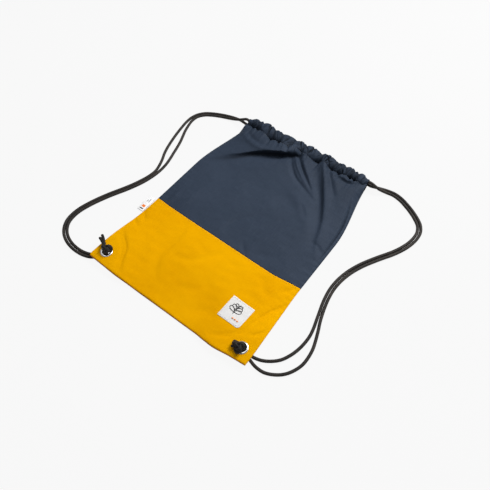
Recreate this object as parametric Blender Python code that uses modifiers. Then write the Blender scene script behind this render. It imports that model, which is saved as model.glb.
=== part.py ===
"""Drawstring backpack: a two-colour gym sack that lies flat on its back.

+Z points up out of the front face, +Y from the bottom edge to the mouth, +X to the right as the front is read.
The origin is the centre of the underside. Sizes are in metres.

The sack is four fabric panels with bound seams. A casing on each side of the mouth carries two drawcords.
Each drawcord runs through both casings as a hairpin, leaves them at its own end, passes under the bottom
corner on its own side, comes up through an eyelet there, and is tied in a knot on the front.
"""

import math

import bmesh
import bpy
import numpy as np
from mathutils import Matrix, Vector

# Bag outline
BAG_LENGTH = 0.445
BOTTOM_WIDTH = 0.350
WAIST_WIDTH = 0.334
MOUTH_WIDTH = 0.287
WAIST_START = 0.170
SHOULDER_START = 0.285
SHOULDER_END = 0.450
CROSS_SEAM = 0.168
CASING_LENGTH = 0.030

# Thicknesses and clearances
FABRIC = 0.0010
BINDING = 0.0008
SEAM_STACK = 0.0027
TOUCH_GAP = 0.0003
LAYER_GAP = 0.00045

# Fullness: how far the front rises over the back
BODY_CROWN = 0.0085
BODY_CROWN_RAMP = 0.120
MOUTH_CROWN = 0.0040
BODY_ROUNDNESS = 4.0
MOUTH_ROUNDNESS = 14.0

# Eyelets, and the bottom corners that lie on the cords
EYELET_X = 0.153
EYELET_FROM_BOTTOM = 0.018
CORNER_LIFT = 0.0072
LIFT_FLAT = 0.028
LIFT_REACH = 0.110
FLANGE_RADIUS = 0.0115
FLANGE_THICKNESS = 0.0010
BARREL_OUTER = 0.0069
BARREL_INNER = 0.0063
FABRIC_HOLE = 0.0073
REINFORCEMENT = (0.038, 0.033)

# Cords
CORD_DIAMETER = 0.0055
PAIR_PITCH = 0.0061
CORD_REST_HEIGHT = 0.0030
CORD_STEP = 0.0165
ELBOW_RADIUS = 0.0055
DROP_LENGTH = 0.035

# Casings
CASING_HALF_LENGTH = 0.124
CASING_HEIGHT = 0.0090
BACK_CASING_Z = 0.0045
FRONT_CASING_Z = 0.0190
CASING_OUTLET_X = 0.1435
LEFT_LANE_Y = 0.2105
RIGHT_LANE_Y = 0.2170
HAIRPIN_TURN_X = 0.1280

# Patch and label
PATCH_SIZE = 0.0455
PATCH_CENTRE = (0.1065, -0.1585)
PATCH_CUT = 0.006
LABEL_LENGTH = 0.036
LABEL_REACH = 0.0150
LABEL_THICKNESS = 0.0012
LABEL_HINGE = (-0.1690, -0.0765, 0.0024)

# Knots
KNOT_RADII = (0.0125, 0.0105, 0.0062)
KNOT_LEG_BOTTOM = 0.0093

BOTTOM_Y = -BAG_LENGTH / 2
RIM_Y = BAG_LENGTH / 2
SEAM_Y = BOTTOM_Y + CROSS_SEAM
CASING_Y = RIM_Y - CASING_LENGTH
EYELET_Y = BOTTOM_Y + EYELET_FROM_BOTTOM
FLANGE_Z = CORNER_LIFT + SEAM_STACK + FABRIC + TOUCH_GAP
KNOT_Z = FLANGE_Z + FLANGE_THICKNESS + TOUCH_GAP

# Cord routes, seen from above. Each row is a point of the pair's middle line and how far the two strands
# stand apart there, beyond lying side by side.
LEFT_PAIR = (
    (-0.1730, 0.2120, 0.0000),
    (-0.1980, 0.2065, 0.0000),
    (-0.2210, 0.1970, 0.0000),
    (-0.2420, 0.1840, 0.0000),
    (-0.2535, 0.1680, 0.0000),
    (-0.2560, 0.1480, 0.0010),
    (-0.2500, 0.1170, 0.0030),
    (-0.2400, 0.0850, 0.0060),
    (-0.2300, 0.0520, 0.0060),
    (-0.2190, 0.0210, 0.0030),
    (-0.2150, -0.0080, 0.0000),
    (-0.2210, -0.0400, 0.0000),
    (-0.2330, -0.0720, 0.0000),
    (-0.2480, -0.1040, 0.0000),
    (-0.2610, -0.1380, 0.0000),
    (-0.2680, -0.1680, 0.0000),
    (-0.2660, -0.1950, 0.0000),
    (-0.2530, -0.2150, 0.0000),
    (-0.2330, -0.2270, 0.0000),
    (-0.2100, -0.2315, 0.0000),
    (-0.1880, -0.2300, 0.0000),
    (-0.1720, -0.2235, 0.0000),
)
RIGHT_PAIR = (
    (0.1660, 0.2230, 0.0000),
    (0.1800, 0.2295, 0.0000),
    (0.1960, 0.2320, 0.0000),
    (0.2140, 0.2285, 0.0000),
    (0.2350, 0.2190, 0.0000),
    (0.2560, 0.2060, 0.0000),
    (0.2720, 0.1900, 0.0000),
    (0.2775, 0.1700, 0.0000),
    (0.2740, 0.1430, 0.0000),
    (0.2620, 0.1130, 0.0000),
    (0.2430, 0.0810, 0.0000),
    (0.2260, 0.0490, 0.0000),
    (0.2150, 0.0170, 0.0000),
    (0.2110, -0.0150, 0.0000),
    (0.2140, -0.0450, 0.0000),
    (0.2230, -0.0800, 0.0000),
    (0.2330, -0.1120, 0.0020),
    (0.2370, -0.1400, 0.0060),
    (0.2340, -0.1670, 0.0090),
    (0.2220, -0.1900, 0.0090),
    (0.2030, -0.2040, 0.0070),
    (0.1850, -0.2080, 0.0030),
    (0.1720, -0.2070, 0.0000),
)


def smooth(t):
    """Eases from 0 to 1 as t goes from 0 to 1."""
    t = min(1.0, max(0.0, t))
    return t * t * (3 - 2 * t)


# ---------------------------------------------------------------- the bag's form


def half_width(y):
    """Half of the bag's width at y: full at the bottom, drawn in at the mouth."""
    s = y - BOTTOM_Y
    width = BOTTOM_WIDTH - (BOTTOM_WIDTH - WAIST_WIDTH) * smooth(s / WAIST_START)
    gather = smooth((s - SHOULDER_START) / (SHOULDER_END - SHOULDER_START))
    return (width - (WAIST_WIDTH - MOUTH_WIDTH) * gather) / 2


def corner_share(x, y):
    """1 where the fabric lies flat over the cords at a bottom corner, 0 away from both corners."""
    r = math.hypot(abs(x) - EYELET_X, y - EYELET_Y)
    return smooth((LIFT_REACH - r) / (LIFT_REACH - LIFT_FLAT))


def back_height(x, y):
    """Height of the back panels' underside."""
    return CORNER_LIFT * corner_share(x, y)


def front_height(x, y):
    """Height of the front panels' underside."""
    s = y - BOTTOM_Y
    near_mouth = smooth((s - 0.30) / (BAG_LENGTH - CASING_LENGTH - 0.30))
    crown = BODY_CROWN * smooth(s / BODY_CROWN_RAMP) + MOUTH_CROWN * near_mouth
    roundness = BODY_ROUNDNESS + (MOUTH_ROUNDNESS - BODY_ROUNDNESS) * near_mouth
    share = 1 - min(1.0, abs(x) / half_width(y)) ** roundness
    corner = corner_share(x, y)
    return CORNER_LIFT * corner + SEAM_STACK + crown * share * (1 - corner)


# ---------------------------------------------------------------- making objects


def remove_everything():
    for o in list(bpy.data.objects):
        bpy.data.objects.remove(o)


def new_collection(name):
    made = bpy.data.collections.new(name)
    bpy.context.scene.collection.children.link(made)
    return made


def material(name, colour, roughness, metallic=0.0):
    made = bpy.data.materials.new(name)
    made.use_nodes = True
    shader = made.node_tree.nodes["Principled BSDF"]
    shader.inputs["Base Color"].default_value = (*colour, 1.0)
    shader.inputs["Roughness"].default_value = roughness
    shader.inputs["Metallic"].default_value = metallic
    return made


NAVY = (0.042, 0.055, 0.084)
MUSTARD = (0.83, 0.40, 0.005)
BLACK = (0.013, 0.011, 0.010)
SILVER = (0.80, 0.80, 0.80)
WHITE = (0.85, 0.85, 0.86)


def place(mesh_or_curve, name, finish, collection):
    """A named object for the data, with a material of its own made from (colour, roughness, metallic)."""
    o = bpy.data.objects.new(name, mesh_or_curve)
    collection.objects.link(o)
    o.data.materials.append(material(name, *finish))
    return o


def mesh_object(bm, name, finish, collection):
    bmesh.ops.recalc_face_normals(bm, faces=bm.faces)
    mesh = bpy.data.meshes.new(name)
    bm.to_mesh(mesh)
    bm.free()
    mesh.shade_smooth()
    mesh.set_sharp_from_angle(angle=math.radians(35))
    return place(mesh, name, finish, collection)


def thicken(o, thickness):
    """Gives an open surface its thickness, upwards."""
    solid = o.modifiers.new("Thickness", "SOLIDIFY")
    solid.thickness = thickness
    solid.offset = 1.0


def cut(o, cutter):
    boolean = o.modifiers.new("Cut", "BOOLEAN")
    boolean.operation = "DIFFERENCE"
    boolean.object = cutter


def cylinder(bm, radius, low, high, centre=(0.0, 0.0), segments=24):
    turned = Matrix.Translation((*centre, (low + high) / 2))
    bmesh.ops.create_cone(
        bm, cap_ends=True, segments=segments, radius1=radius, radius2=radius, depth=high - low, matrix=turned
    )


def hole_cutter(name, radius, x, y, collection):
    bm = bmesh.new()
    cylinder(bm, radius, -0.01, 0.04, (x, y))
    o = mesh_object(bm, name, (SILVER, 0.5, 0.0), collection)
    o.hide_render = True
    o.display_type = "WIRE"
    return o


# ---------------------------------------------------------------- fabric


def fabric_grid(columns, rows, point):
    """A grid whose vertices go where point(u, w) says, u from -1 to 1 across and w from 0 to 1 along."""
    bm = bmesh.new()
    bmesh.ops.create_grid(bm, x_segments=columns, y_segments=rows, size=0.5)
    for v in bm.verts:
        v.co = point(2 * v.co.x, v.co.y + 0.5)
    return bm


def panel(name, start, end, height, rows, finish, collection):
    """A panel across the bag from y start to y end. Its columns crowd towards the side seams."""

    def point(u, w):
        y = start + w * (end - start)
        x = half_width(y) * u * (1.3 - 0.3 * u * u)
        return x, y, height(x, y)

    o = mesh_object(fabric_grid(20, rows, point), name, finish, collection)
    thicken(o, FABRIC)
    return o


def make_panels(parts, cutters):
    mustard, navy = (MUSTARD, 0.75, 0.0), (NAVY, 0.75, 0.0)
    gap = TOUCH_GAP / 2
    top = CASING_Y - gap
    lowers = [
        panel("back_lower_panel", BOTTOM_Y, SEAM_Y - gap, back_height, 12, mustard, parts),
        panel("front_lower_panel", BOTTOM_Y, SEAM_Y - gap, front_height, 12, mustard, parts),
    ]
    panel("back_upper_panel", SEAM_Y + gap, top, back_height, 14, navy, parts)
    panel("front_upper_panel", SEAM_Y + gap, top, front_height, 14, navy, parts)
    for side, x in (("left", -EYELET_X), ("right", EYELET_X)):
        hole = hole_cutter(f"{side}_fabric_hole", FABRIC_HOLE, x, EYELET_Y, cutters)
        reinforcement = make_reinforcement(side, x, parts)
        for o in (*lowers, reinforcement):
            cut(o, hole)


def make_reinforcement(side, x, parts):
    """The square of fabric between front and back that the eyelet grips."""
    width, length = REINFORCEMENT
    height = CORNER_LIFT + FABRIC + LAYER_GAP

    def point(u, w):
        return x + u * width / 2, EYELET_Y + (w - 0.5) * length, height

    o = mesh_object(fabric_grid(2, 2, point), f"{side}_corner_reinforcement", (MUSTARD, 0.8, 0.0), parts)
    thicken(o, BINDING)
    return o


def make_bindings(parts):
    """Tapes that bind the seam allowances inside the bag: one up each side and one along the bottom."""
    tape_width, inset = 0.008, 0.0012
    side_start, side_end = BOTTOM_Y + 0.044, BOTTOM_Y + 0.385
    bottom_reach = 0.128
    lift = FABRIC + LAYER_GAP

    def side_point(side):
        def point(u, w):
            y = side_start + w * (side_end - side_start)
            x = side * (half_width(y) - inset - tape_width / 2 + u * side * tape_width / 2)
            return x, y, back_height(x, y) + lift

        return point

    def bottom_point(u, w):
        x = u * bottom_reach
        y = BOTTOM_Y + inset + w * tape_width
        return x, y, back_height(x, y) + lift

    grids = (
        ("left_side_binding", fabric_grid(1, 26, side_point(-1))),
        ("right_side_binding", fabric_grid(1, 26, side_point(1))),
        ("bottom_binding", fabric_grid(22, 1, bottom_point)),
    )
    for name, bm in grids:
        thicken(mesh_object(bm, name, (BLACK, 0.8, 0.0), parts), BINDING)


def stadium(width, height, arc_steps):
    """Points round a flat oval: two half circles joined by straight sides."""
    radius, straight = height / 2, (width - height) / 2
    points = []
    for side in (1, -1):
        for k in range(arc_steps + 1):
            a = math.pi * (k / arc_steps - 0.5)
            points.append((side * (straight + radius * math.cos(a)), side * radius * math.sin(a)))
    return points


def make_casing(name, z, parts):
    """A flattened fabric tube along X, open at both ends, for the drawcords."""
    curve = bpy.data.curves.new(name, "CURVE")
    curve.dimensions = "2D"
    curve.fill_mode = "BOTH"
    curve.extrude = CASING_HALF_LENGTH
    wall = FABRIC
    for inward in (0.0, wall):
        outline = stadium(CASING_LENGTH - TOUCH_GAP - 2 * inward, CASING_HEIGHT - 2 * inward, 8)
        spline = curve.splines.new("POLY")
        spline.points.add(len(outline) - 1)
        for p, (a, b) in zip(spline.points, outline):
            p.co = (a, b, 0.0, 1.0)
        spline.use_cyclic_u = True
    o = place(curve, name, (NAVY, 0.75, 0.0), parts)
    # the outline's own X lies along the bag's Y and its Y along Z, so the extrusion runs along X
    o.rotation_euler = (math.pi / 2, 0.0, math.pi / 2)
    o.location = (0.0, RIM_Y - (CASING_LENGTH - TOUCH_GAP) / 2, z)
    return o


# ---------------------------------------------------------------- eyelets


def turned(name, profile, segments, finish, x, y, parts):
    """A ring turned about Z from a closed profile of (radius, height) points."""
    bm = bmesh.new()
    verts = [bm.verts.new((r, 0.0, z)) for r, z in profile]
    for a, b in zip(verts, verts[1:] + verts[:1]):
        bm.edges.new((a, b))
    mesh = bpy.data.meshes.new(name)
    bm.to_mesh(mesh)
    bm.free()
    o = place(mesh, name, finish, parts)
    o.location = (x, y, 0.0)
    screw = o.modifiers.new("Turn", "SCREW")
    screw.steps = segments
    screw.render_steps = segments
    screw.merge_threshold = 0.00001
    screw.use_merge_vertices = True
    screw.use_normal_flip = True
    return o


def make_eyelets(parts):
    """The front half is a domed flange with a barrel, and the back half is a plain washer round the barrel."""
    metal = (SILVER, 0.25, 1.0)
    top = FLANGE_Z + FLANGE_THICKNESS
    washer_top = CORNER_LIFT - TOUCH_GAP
    washer_bottom = washer_top - 0.0008
    flange = (
        (BARREL_INNER, top - 0.0003),
        (BARREL_INNER, washer_bottom),
        (BARREL_OUTER, washer_bottom),
        (BARREL_OUTER, FLANGE_Z),
        (FLANGE_RADIUS, FLANGE_Z),
        (FLANGE_RADIUS - 0.0006, FLANGE_Z + 0.0006),
        (FLANGE_RADIUS - 0.0025, top),
        (BARREL_INNER + 0.0006, top),
    )
    washer = (
        (BARREL_OUTER + TOUCH_GAP, washer_top),
        (BARREL_OUTER + TOUCH_GAP, washer_bottom),
        (FLANGE_RADIUS, washer_bottom),
        (FLANGE_RADIUS, washer_top),
    )
    for side, x in (("left", -EYELET_X), ("right", EYELET_X)):
        turned(f"{side}_eyelet", flange, 24, metal, x, EYELET_Y, parts)
        turned(f"{side}_eyelet_washer", washer, 24, metal, x, EYELET_Y, parts)


# ---------------------------------------------------------------- cords


def smooth_curve(points, step):
    """Points about a step apart on a smooth curve through the given points."""
    p = [Vector(q) for q in points]
    p = [2 * p[0] - p[1], *p, 2 * p[-1] - p[-2]]
    fine = []
    for a, b, c, d in zip(p, p[1:], p[2:], p[3:]):
        tangent_b, tangent_c = (c - a) / 2, (d - b) / 2
        for k in range(24):
            t = k / 24
            fine.append(
                b * (1 + 2 * t) * (1 - t) ** 2 + tangent_b * t * (1 - t) ** 2
                + c * t * t * (3 - 2 * t) + tangent_c * t * t * (t - 1)
            )
    fine.append(p[-2])
    along = np.concatenate([[0.0], np.cumsum([(b - a).length for a, b in zip(fine, fine[1:])])])
    count = max(2, round(along[-1] / step) + 1)
    wanted = np.linspace(0.0, along[-1], count)
    columns = [np.interp(wanted, along, [q[axis] for q in fine]) for axis in range(3)]
    return list(zip(*columns))


def tube(name, points, parts):
    curve = bpy.data.curves.new(name, "CURVE")
    curve.dimensions = "3D"
    curve.bevel_depth = CORD_DIAMETER / 2
    curve.bevel_resolution = 2
    curve.use_fill_caps = True
    spline = curve.splines.new("POLY")
    spline.points.add(len(points) - 1)
    for p, q in zip(spline.points, points):
        p.co = (*q, 1.0)
    return place(curve, name, (BLACK, 0.8, 0.0), parts)


def strand_route(pair, side, lane_y, casing_z, turn):
    """One strand of a pair: out of its casing, beside its twin along the pair's line, then up into the eyelet.

    side is -1 for the left corner and 1 for the right, and turn is 1 or -1 for the strand's side of the line.
    """
    middle = [Vector((x, y)) for x, y, _ in pair]
    eyelet = Vector((side * EYELET_X, EYELET_Y))
    outward = (middle[-1] - eyelet).normalized()
    ahead = [*middle[1:], eyelet]
    behind = [Vector((side * CASING_OUTLET_X, lane_y)), *middle[:-1]]
    sideways = [(b - a).normalized().orthogonal() for a, b in zip(behind, ahead)]
    offsets = [PAIR_PITCH / 2 + apart for _, _, apart in pair]
    flat = [m + n * turn * d for m, n, d in zip(middle, sideways, offsets)]
    start, clear = [Vector((side * (CASING_OUTLET_X + away), lane_y, casing_z)) for away in (TOUCH_GAP, 0.008)]
    lying = []
    for q in flat:
        landed = smooth((q - clear.xy).length / DROP_LENGTH)
        lying.append((q.x, q.y, casing_z + (CORD_REST_HEIGHT - casing_z) * landed))
    across = (-outward).orthogonal() * turn * PAIR_PITCH / 2
    return [start, *smooth_curve([clear, *lying], CORD_STEP), *elbow(eyelet + across, outward)]


def elbow(foot, outward):
    """The quarter turn from lying under the corner to standing in the eyelet, then a short rise."""
    points = []
    for k in range(5):
        a = math.pi / 2 * k / 4
        away = ELBOW_RADIUS * (1 - math.sin(a))
        q = foot + outward * away
        points.append((q.x, q.y, CORD_REST_HEIGHT + ELBOW_RADIUS * (1 - math.cos(a))))
    points.append((foot.x, foot.y, KNOT_LEG_BOTTOM - TOUCH_GAP))
    return points


def hairpin_route(side, lane_y):
    """Through the front casing from the cord's own end, round the far end and back through the back casing."""
    middle_z = (FRONT_CASING_Z + BACK_CASING_Z) / 2
    radius = (FRONT_CASING_Z - BACK_CASING_Z) / 2
    start = (side * CASING_OUTLET_X, lane_y, FRONT_CASING_Z)
    end = (side * CASING_OUTLET_X, lane_y, BACK_CASING_Z)
    bend = []
    for k in range(9):
        a = math.pi * k / 8
        bend.append((-side * (HAIRPIN_TURN_X + radius * math.sin(a)), lane_y, middle_z + radius * math.cos(a)))
    return [start, *bend, end]


def make_cords(parts):
    for name, side, pair, lane_y in (("left", -1, LEFT_PAIR, LEFT_LANE_Y), ("right", 1, RIGHT_PAIR, RIGHT_LANE_Y)):
        tube(f"{name}_cord_in_casing", hairpin_route(side, lane_y), parts)
        front = strand_route(pair, side, lane_y, FRONT_CASING_Z, 1)
        back = strand_route(pair, side, lane_y, BACK_CASING_Z, -1)
        tube(f"{name}_front_strand", front, parts)
        tube(f"{name}_back_strand", back, parts)


# ---------------------------------------------------------------- knots


def rod(bm, start, end, radius, segments=8):
    """A capped rod between two points."""
    start, end = Vector(start), Vector(end)
    along = end - start
    pose = Matrix.Translation((start + end) / 2) @ along.to_track_quat("Z", "Y").to_matrix().to_4x4()
    bmesh.ops.create_cone(
        bm, cap_ends=True, segments=segments, radius1=radius, radius2=radius, depth=along.length, matrix=pose
    )


def make_knot(name, side, pair, lump_offset, tips, parts, cutters):
    """The lump of a doubled overhand knot, its two legs down the eyelet and its two cut ends.

    The object's origin is on the eyelet's axis, which the knot swivels about.
    """
    bm = bmesh.new()
    bmesh.ops.create_uvsphere(bm, u_segments=16, v_segments=10, radius=1.0)
    lump_z = KNOT_Z + KNOT_RADII[2]
    bmesh.ops.scale(bm, vec=KNOT_RADII, verts=bm.verts)
    bmesh.ops.translate(bm, vec=(*lump_offset, lump_z), verts=bm.verts)
    knot = mesh_object(bm, name, (BLACK, 0.8, 0.0), parts)
    knot.location = (side * EYELET_X, EYELET_Y, 0.0)
    arrival = Vector(pair[-1][:2]) - Vector((side * EYELET_X, EYELET_Y))
    across = arrival.normalized().orthogonal() * PAIR_PITCH / 2
    rods = []
    for turn in (1, -1):
        leg = across * turn
        rods.append(((leg.x, leg.y, KNOT_LEG_BOTTOM), (leg.x, leg.y, lump_z)))
    rods += [((*(0.35 * Vector(tip[:2]) + 0.3 * Vector(lump_offset)), lump_z), tip) for tip in tips]
    for k, (start, end) in enumerate(rods):
        bm = bmesh.new()
        rod(bm, start, end, CORD_DIAMETER / 2)
        tool = mesh_object(bm, f"{name}_rod_{k}", (BLACK, 0.8, 0.0), cutters)
        tool.location = knot.location
        tool.hide_render = True
        tool.display_type = "WIRE"
        join = knot.modifiers.new("Join", "BOOLEAN")
        join.operation = "UNION"
        join.object = tool


def make_knots(parts, cutters):
    tip_z = KNOT_Z + CORD_DIAMETER / 2 + 0.0005
    make_knot(
        "left_knot", -1, LEFT_PAIR, (-0.001, 0.004),
        ((-0.030, 0.021, tip_z), (-0.028, 0.012, tip_z)), parts, cutters,
    )
    make_knot(
        "right_knot", 1, RIGHT_PAIR, (-0.003, 0.001),
        ((-0.0175, 0.003, tip_z), (-0.0155, -0.009, tip_z)), parts, cutters,
    )


# ---------------------------------------------------------------- patch and label


def make_patch(parts):
    """The woven patch sewn on the lower front. Its bottom right corner is cut round."""
    cx, cy = PATCH_CENTRE

    def point(u, w):
        v = 2 * w - 1
        if u > 0 and v < 0:
            # a square cell is pushed in towards the patch's middle near this corner
            pull = max(0.0, u - v - 2 + PATCH_CUT / PATCH_SIZE * 2) / 2
            u, v = u - pull, v + pull
        x, y = cx + u * PATCH_SIZE / 2, cy + v * PATCH_SIZE / 2
        return x, y, front_height(x, y) + FABRIC + LAYER_GAP

    thicken(mesh_object(fabric_grid(8, 8, point), "woven_patch", (WHITE, 0.8, 0.0), parts), BINDING)


def make_label(parts):
    """The folded label sewn into the left seam. Its origin is on the seam line that it flaps about."""
    bm = bmesh.new()
    bmesh.ops.create_cube(bm, size=1.0)
    bmesh.ops.scale(bm, vec=(LABEL_REACH, LABEL_LENGTH, LABEL_THICKNESS), verts=bm.verts)
    bmesh.ops.translate(bm, vec=(-LABEL_REACH / 2, 0.0, 0.0), verts=bm.verts)
    label = mesh_object(bm, "side_label", (WHITE, 0.8, 0.0), parts)
    label.location = LABEL_HINGE


def main():
    remove_everything()
    parts = new_collection("drawstring_backpack")
    cutters = new_collection("cutters")
    make_panels(parts, cutters)
    make_bindings(parts)
    make_casing("front_casing", FRONT_CASING_Z, parts)
    make_casing("back_casing", BACK_CASING_Z, parts)
    make_eyelets(parts)
    make_cords(parts)
    make_knots(parts, cutters)
    make_patch(parts)
    make_label(parts)
    bpy.context.view_layer.update()


main()
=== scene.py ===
"""Looks of the drawstring backpack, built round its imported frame.

Every panel, casing, cord, knot, eyelet, patch and label is an object of its own. Sizes are in metres, in the
frame's axes: +X to the right, +Y from the bottom edge to the mouth, +Z up, with the floor at Z = 0.
"""

import math

import bpy
import numpy as np
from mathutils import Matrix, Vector


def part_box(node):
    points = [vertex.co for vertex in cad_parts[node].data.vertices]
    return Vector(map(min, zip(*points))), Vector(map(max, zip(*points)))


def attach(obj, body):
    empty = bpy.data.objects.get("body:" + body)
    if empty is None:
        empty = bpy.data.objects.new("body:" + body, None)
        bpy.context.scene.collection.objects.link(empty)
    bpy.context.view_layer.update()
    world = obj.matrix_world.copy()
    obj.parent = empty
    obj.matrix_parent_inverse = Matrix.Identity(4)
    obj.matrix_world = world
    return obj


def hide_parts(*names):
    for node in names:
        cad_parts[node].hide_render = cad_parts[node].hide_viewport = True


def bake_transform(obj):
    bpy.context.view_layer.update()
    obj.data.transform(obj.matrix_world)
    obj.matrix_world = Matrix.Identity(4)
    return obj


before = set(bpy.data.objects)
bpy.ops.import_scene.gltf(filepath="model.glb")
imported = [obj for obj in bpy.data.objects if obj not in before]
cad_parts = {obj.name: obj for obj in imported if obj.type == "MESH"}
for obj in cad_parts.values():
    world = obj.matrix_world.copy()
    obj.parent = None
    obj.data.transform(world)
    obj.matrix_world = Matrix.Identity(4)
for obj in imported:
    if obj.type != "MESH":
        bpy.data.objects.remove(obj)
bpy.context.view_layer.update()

MM = 0.001
SIDES = ("left", -1), ("right", 1)


def metres(*rows):
    """Rows of millimetres as rows of metres."""
    return [tuple(value * MM for value in row) for row in rows]


def fold(height, left, right, *line, lean=0, fullest=0.5):
    """A row of FRONT_FOLDS in metres, from the same in millimetres."""
    return (metres(*line), height * MM, left * MM, right * MM, lean * MM, fullest)


# ---------------------------------------------------------------- the bag's sizes

BOTTOM_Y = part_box("front_lower_panel")[0].y
SEAM_Y = (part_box("front_lower_panel")[1].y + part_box("front_upper_panel")[0].y) / 2
BAG_LENGTH = -2 * BOTTOM_Y
BOTTOM_WIDTH = 0.35
WAIST_WIDTH = 0.334
MOUTH_WIDTH = 0.287
WAIST_START = 0.17
SHOULDER_START = 0.285
SHOULDER_END = 0.45
CASING_LENGTH = 0.03
CORNER_ROUND = 0.0035
CORNER_SAG = 0.004

FABRIC = 0.001
PANEL_THICKNESS = FABRIC * 0.9
HOLE_PLAY = 0.0012
SEAM_STACK = 0.0027
TOUCH_GAP = 0.0003
BODY_CROWN = 0.005
BODY_CROWN_RAMP = 0.12
MOUTH_CROWN = 0.01
BODY_ROUNDNESS = 4.0
MOUTH_ROUNDNESS = 14.0

EYELET_X = 0.153
EYELET_Y = BOTTOM_Y + 0.018
CORNER_LIFT = 0.0072
LIFT_FLAT = 0.028
LIFT_REACH = 0.11
HOLE_RADIUS = 0.0073
FLANGE_Z = 0.0112
FLANGE_RADIUS = 0.0115
BARREL_RADIUS = 0.0063

CORD_DIAMETER = 0.0055
PAIR_PITCH = 0.0061
CORD_REST_HEIGHT = 0.003
ELBOW_RADIUS = 0.0055
DROP_LENGTH = 0.035
BACK_CASING_Z = 0.0045
FRONT_CASING_Z = 0.019
CASING_OUTLET_X = 0.1435
LEFT_LANE_Y = 0.2125
RIGHT_LANE_Y = 0.2195
HAIRPIN_TURN_X = 0.128

PATCH_SIZE = 0.0455
PATCH_CENTRE = (0.1065, -0.1585)
PATCH_CUT = 0.006
LABEL_HINGE = (-0.169, -0.0765, 0.0024)
LABEL_LENGTH = 0.036
LABEL_REACH = 0.015
KNOT_Z = 0.0125
KNOT_LEG_BOTTOM = 0.0093

# Cord routes, seen from above. Each row is a point of the pair's middle line and how far the two strands
# stand apart there, beyond lying side by side.
LEFT_PAIR = metres(
    (-173, 212, 0), (-198, 206.5, 0), (-221, 197, 0), (-242, 184, 0), (-253.5, 168, 0), (-256, 148, 1),
    (-250, 117, 3), (-240, 85, 6), (-230, 52, 6), (-219, 21, 3), (-215, -8, 0), (-221, -40, 0),
    (-233, -72, 0), (-248, -104, 0), (-261, -138, 0), (-268, -168, 0), (-266, -195, 0), (-253, -215, 0),
    (-233, -227, 0), (-210, -231.5, 0), (-188, -230, 0), (-172, -223.5, 0)
)
RIGHT_PAIR = metres(
    (166, 223, 0), (180, 229.5, 0), (196, 232, 0), (214, 228.5, 0), (235, 219, 0), (256, 206, 0),
    (272, 190, 0), (277.5, 170, 0), (274, 143, 0), (262, 113, 0), (243, 81, 0), (226, 49, 0), (215, 17, 0),
    (211, -15, 0), (214, -45, 0), (223, -80, 0), (233, -112, 2), (237, -140, 6), (234, -167, 9),
    (222, -190, 9), (203, -204, 7), (185, -208, 3), (172, -207, 0)
)

# ---------------------------------------------------------------- how the fabric lies

RIM_NOTCH_Y = 0.2222
RIM_PUFF = 0.008
EDGE_ROLL = 0.004
PINCHED = 0.005
LEFT_EXIT_Z = 0.0185
RIGHT_EXIT_Z = 0.016
BACK_EXIT_Z = 0.008
EXIT_SLOPE = 0.034
SLIT_START = 0.178
SLIT_FULL = 0.204

# How far the cross seam and the bottom edge sag below the straight line between their ends: x, sag
SEAM_SAG = metres(
    (-172, -2.2), (-150, -0.6), (-135, 1), (-99, 3), (-60, 4), (-17, 4.8), (30, 5.6), (66, 6.4), (92, 6.1),
    (118, 5.8), (148, 1.2), (172, -2.2)
)
BOTTOM_SAG = metres(
    (-176, 4), (-140, 5.5), (-108, 6.6), (-60, 5), (60, 5), (92, 7), (116, 8), (145, 4.2), (176, 1.5)
)
# The seam between the upper panel and the casing: x, y
CASING_SEAM = metres(
    (-150, 205.5), (-124, 205), (-111, 204.5), (-79, 197.5), (-65, 200.5), (-41, 197.5), (-21, 199.5),
    (-6, 204.5), (22, 200.5), (44, 205), (73, 201.5), (95, 203), (110, 205.5), (129, 205.5), (150, 206.5)
)

# The puffs of a casing between its pinches: left and right end in millimetres, fullness, and lean, which is
# below 1 to the left
FRONT_PUFFS = (
    (-143.5, -127, 0.75, 1.0), (-127, -115, 0.6, 1.0), (-115, -76, 1.0, 0.9), (-76, -58, 0.45, 1.0),
    (-58, -31, 0.6, 1.0), (-31, -4, 0.9, 0.6), (-4, 39, 0.95, 0.6), (39, 71, 1.0, 0.6), (71, 86, 0.6, 0.9),
    (86, 110, 0.8, 1.0), (110, 119, 0.45, 1.0), (119, 143.5, 0.85, 1.0)
)
BACK_PUFFS = (
    (-143.5, -122, 0.8, 1.0), (-122, -93, 0.9, 1.1), (-93, -74, 0.6, 1.0), (-74, -38, 1.0, 0.8),
    (-38, -15, 0.7, 1.0), (-15, 21, 0.95, 1.2), (21, 40, 0.55, 1.0), (40, 73, 0.9, 0.9), (73, 95, 0.65, 1.0),
    (95, 121, 0.85, 1.0), (121, 143.5, 0.75, 1.0)
)

# The hollow in front of the big tuck, and the fold line inside the right edge of the upper panel, in
# millimetres. Painted shade also lies along both.
TUCK_HOLLOW = (-168, 70), (-131, 97), (-110, 114), (-94, 130), (-75, 149), (-48, 167), (-8, 190), (12, 201)
EDGE_FOLD = (137, 166), (148, 138), (156.8, 100), (159.6, 66), (160.2, 10)

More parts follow.
